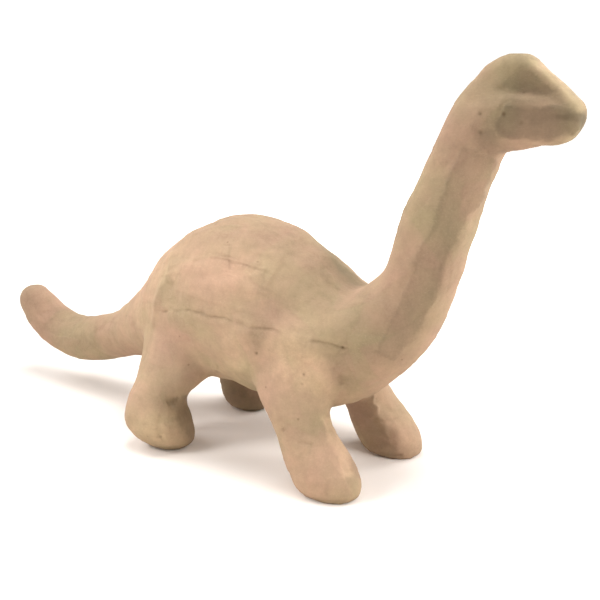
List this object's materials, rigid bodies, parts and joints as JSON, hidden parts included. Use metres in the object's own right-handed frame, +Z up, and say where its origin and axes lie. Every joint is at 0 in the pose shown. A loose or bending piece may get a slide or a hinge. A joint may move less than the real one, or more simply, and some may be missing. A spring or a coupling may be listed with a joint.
{
  "type": "papier-mache dinosaur blank",
  "caption": "Hollow papier-mache long-necked dinosaur in bare kraft paper, a stiff craft blank that stands on flat soles as an ornament.",
  "frame": {"origin": "middle of the animal's box, on the floor that the soles stand on", "axes": "+X to the head, +Y to the animal's left side, +Z up"},
  "size_m": [0.3268, 0.0978, 0.1815],
  "materials": {
    "kraft_paper": "bare brown kraft paper strips, matte"
  },
  "bodies": {
    "root": {"papier_mache_dinosaur": "kraft_paper"}
  },
  "joints": []
}
